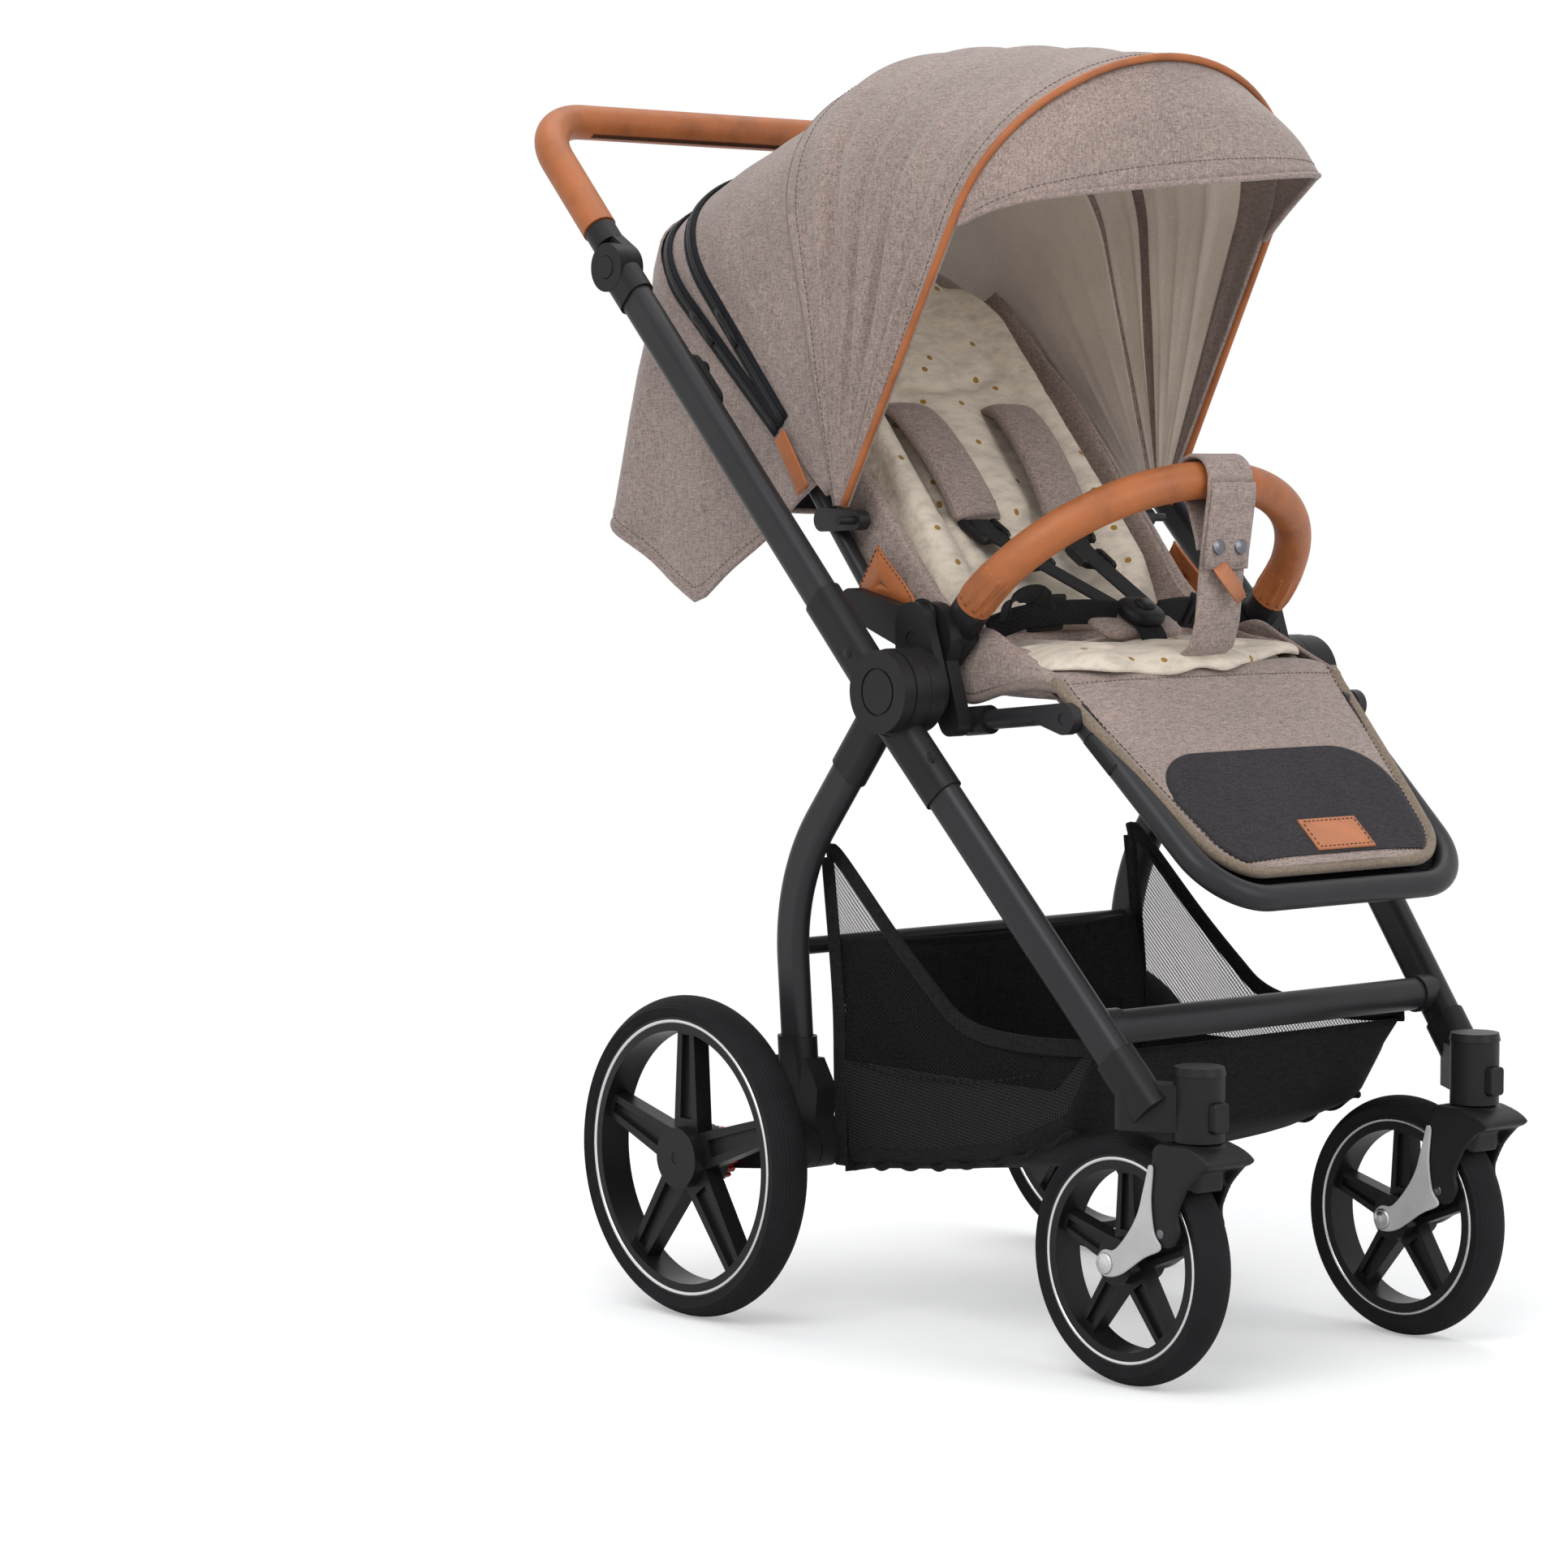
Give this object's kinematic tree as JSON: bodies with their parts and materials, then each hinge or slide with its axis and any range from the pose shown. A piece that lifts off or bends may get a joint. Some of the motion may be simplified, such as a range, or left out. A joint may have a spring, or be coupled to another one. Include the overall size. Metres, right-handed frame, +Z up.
{
  "type": "baby stroller",
  "caption": "Folding baby stroller with a reclining canopied seat, leg rest, bumper bar, swivelling front casters, sprung rear wheels, adjustable push handle and basket.",
  "frame": {"origin": "on the floor, in the middle of the footprint", "axes": "+Z up, -Y towards the front of the stroller, +X to its left"},
  "size_m": [0.575, 0.8774, 1.1817],
  "materials": {
    "charcoal_tube": "satin",
    "black_plastic": "matte",
    "grey_plastic": "matte",
    "red_plastic": "satin",
    "rim_black": "satin",
    "tyre": "matte",
    "steel": "satin",
    "black_cloth": "woven",
    "webbing": "woven",
    "taupe_cloth": "melange weave",
    "cream_cloth": "muslin",
    "leather": "smooth"
  },
  "bodies": {
    "chassis": {"front_leg_left": "charcoal_tube", "front_leg_right": "charcoal_tube", "hub_housing_left": "black_plastic", "hub_housing_right": "black_plastic", "caster_housing_left": "black_plastic", "caster_housing_right": "black_plastic", "front_crossbar": "charcoal_tube", "seat_adapters": "black_plastic", "basket": "black_cloth"},
    "push_frame": {"push_hubs": "black_plastic", "handle_joints": "black_plastic", "push_tube_left": "charcoal_tube", "push_tube_right": "charcoal_tube"},
    "handle": {"handle_knuckles": "black_plastic", "handle_bar": "charcoal_tube", "handle_grip": "leather"},
    "rear_frame": {"rear_hubs": "black_plastic", "rear_feet": "black_plastic", "rear_cross_tubes": "charcoal_tube", "rear_leg_left": "charcoal_tube", "rear_leg_right": "charcoal_tube"},
    "brake_pedal": {"brake_pedal": "black_plastic"},
    "seat": {"seat_joints": "black_plastic", "seat_frame": "charcoal_tube", "seat_base_tubes": "charcoal_tube", "seat_shell": "taupe_cloth", "seat_liner": "cream_cloth", "shoulder_pads": "taupe_cloth", "harness": "webbing", "back_flap": "taupe_cloth", "canopy_rear": "taupe_cloth", "canopy_middle": "taupe_cloth"},
    "canopy": {"canopy_front": "taupe_cloth"},
    "leg_rest": {"leg_rest_frame": "charcoal_tube", "leg_rest_pad": "taupe_cloth"},
    "bumper": {"bumper_bar": "leather", "bumper_plugs": "black_plastic", "bumper_strap": "taupe_cloth"},
    "swivel_lock_left": {"swivel_lock_left": "grey_plastic"},
    "fold_slider_left": {"fold_slider_left": "black_plastic"},
    "handle_button_left": {"handle_button_left": "black_plastic"},
    "swing_arm_left": {"swing_arm_left": "black_plastic"},
    "rear_wheel_left": {"rear_tyre_left": "tyre", "rear_rim_left": "rim_black", "brake_ring_left": "red_plastic"},
    "caster_left": {"caster_fork_left": "black_plastic", "fork_plates_left": "steel"},
    "front_wheel_left": {"front_tyre_left": "tyre", "front_rim_left": "rim_black"},
    "swivel_lock_right": {"swivel_lock_right": "grey_plastic"},
    "fold_slider_right": {"fold_slider_right": "black_plastic"},
    "handle_button_right": {"handle_button_right": "black_plastic"},
    "swing_arm_right": {"swing_arm_right": "black_plastic"},
    "rear_wheel_right": {"rear_tyre_right": "tyre", "rear_rim_right": "rim_black", "brake_ring_right": "red_plastic"},
    "caster_right": {"caster_fork_right": "black_plastic", "fork_plates_right": "steel"},
    "front_wheel_right": {"front_tyre_right": "tyre", "front_rim_right": "rim_black"}
  },
  "joints": [
    {"name": "push_fold", "type": "hinge", "parent": "chassis", "child": "push_frame", "pos_m": [0, -0.107, 0.595], "axis": [1, 0, 0], "range_deg": [0, 150]},
    {"name": "rear_fold", "type": "hinge", "parent": "chassis", "child": "rear_frame", "pos_m": [0, -0.107, 0.595], "axis": [1, 0, 0], "range_deg": [-25, 0], "deforming": ["basket"]},
    {"name": "handle_tilt", "type": "hinge", "parent": "push_frame", "child": "handle", "pos_m": [0, 0.283, 0.98], "axis": [1, 0, 0], "range_deg": [-45, 45]},
    {"name": "brake_pedal", "type": "hinge", "parent": "rear_frame", "child": "brake_pedal", "pos_m": [0, 0.052, 0.167], "axis": [-1, 0, 0], "range_deg": [0, 18]},
    {"name": "seat_recline", "type": "hinge", "parent": "chassis", "child": "seat", "pos_m": [0, -0.097, 0.64], "axis": [1, 0, 0], "range_deg": [-30, 12]},
    {"name": "leg_rest", "type": "hinge", "parent": "seat", "child": "leg_rest", "pos_m": [0, -0.249, 0.574], "axis": [1, 0, 0], "range_deg": [-45, 25]},
    {"name": "canopy_fold", "type": "hinge", "parent": "seat", "child": "canopy", "pos_m": [0, 0.024, 0.744], "axis": [1, 0, 0], "range_deg": [-38, 0], "deforming": ["canopy_middle"]},
    {"name": "bumper_pull", "type": "slide", "parent": "seat", "child": "bumper", "axis": [0, -0.6997, 0.7145], "range_m": [0, 0.025]},
    {"name": "swivel_lock_left", "type": "slide", "parent": "chassis", "child": "swivel_lock_left", "axis": [0, 1, 0], "range_m": [0, 0.004], "stiffness_N_per_m": 300},
    {"name": "fold_slider_left", "type": "slide", "parent": "push_frame", "child": "fold_slider_left", "axis": [0, 0.6984, 0.7157], "range_m": [0, 0.014], "stiffness_N_per_m": 300},
    {"name": "handle_button_left", "type": "slide", "parent": "push_frame", "child": "handle_button_left", "axis": [-1, 0, 0], "range_m": [0, 0.003], "stiffness_N_per_m": 300},
    {"name": "suspension_left", "type": "hinge", "parent": "rear_frame", "child": "swing_arm_left", "pos_m": [0.22, 0.052, 0.167], "axis": [1, 0, 0], "range_deg": [-4, 4], "stiffness_Nm_per_rad": 400},
    {"name": "rear_wheel_left", "type": "hinge", "parent": "swing_arm_left", "child": "rear_wheel_left", "pos_m": [0.2665, 0.163, 0.1505], "axis": [1, 0, 0], "continuous": true},
    {"name": "caster_swivel_left", "type": "hinge", "parent": "chassis", "child": "caster_left", "pos_m": [0.176, -0.407, 0.24], "axis": [0, 0, 1], "continuous": true},
    {"name": "front_wheel_left", "type": "hinge", "parent": "caster_left", "child": "front_wheel_left", "pos_m": [0.176, -0.327, 0.11], "axis": [1, 0, 0], "continuous": true},
    {"name": "swivel_lock_right", "type": "slide", "parent": "chassis", "child": "swivel_lock_right", "axis": [0, 1, 0], "range_m": [0, 0.004], "stiffness_N_per_m": 300},
    {"name": "fold_slider_right", "type": "slide", "parent": "push_frame", "child": "fold_slider_right", "axis": [0, 0.6984, 0.7157], "range_m": [0, 0.014], "stiffness_N_per_m": 300},
    {"name": "handle_button_right", "type": "slide", "parent": "push_frame", "child": "handle_button_right", "axis": [1, 0, 0], "range_m": [0, 0.003], "stiffness_N_per_m": 300},
    {"name": "suspension_right", "type": "hinge", "parent": "rear_frame", "child": "swing_arm_right", "pos_m": [-0.22, 0.052, 0.167], "axis": [1, 0, 0], "range_deg": [-4, 4], "stiffness_Nm_per_rad": 400},
    {"name": "rear_wheel_right", "type": "hinge", "parent": "swing_arm_right", "child": "rear_wheel_right", "pos_m": [-0.2665, 0.163, 0.1505], "axis": [1, 0, 0], "continuous": true},
    {"name": "caster_swivel_right", "type": "hinge", "parent": "chassis", "child": "caster_right", "pos_m": [-0.176, -0.407, 0.24], "axis": [0, 0, 1], "continuous": true},
    {"name": "front_wheel_right", "type": "hinge", "parent": "caster_right", "child": "front_wheel_right", "pos_m": [-0.176, -0.327, 0.11], "axis": [1, 0, 0], "continuous": true}
  ],
  "couplings": [
    {"joint": "rear_fold", "follows": "push_fold", "ratio": -0.16667}
  ]
}
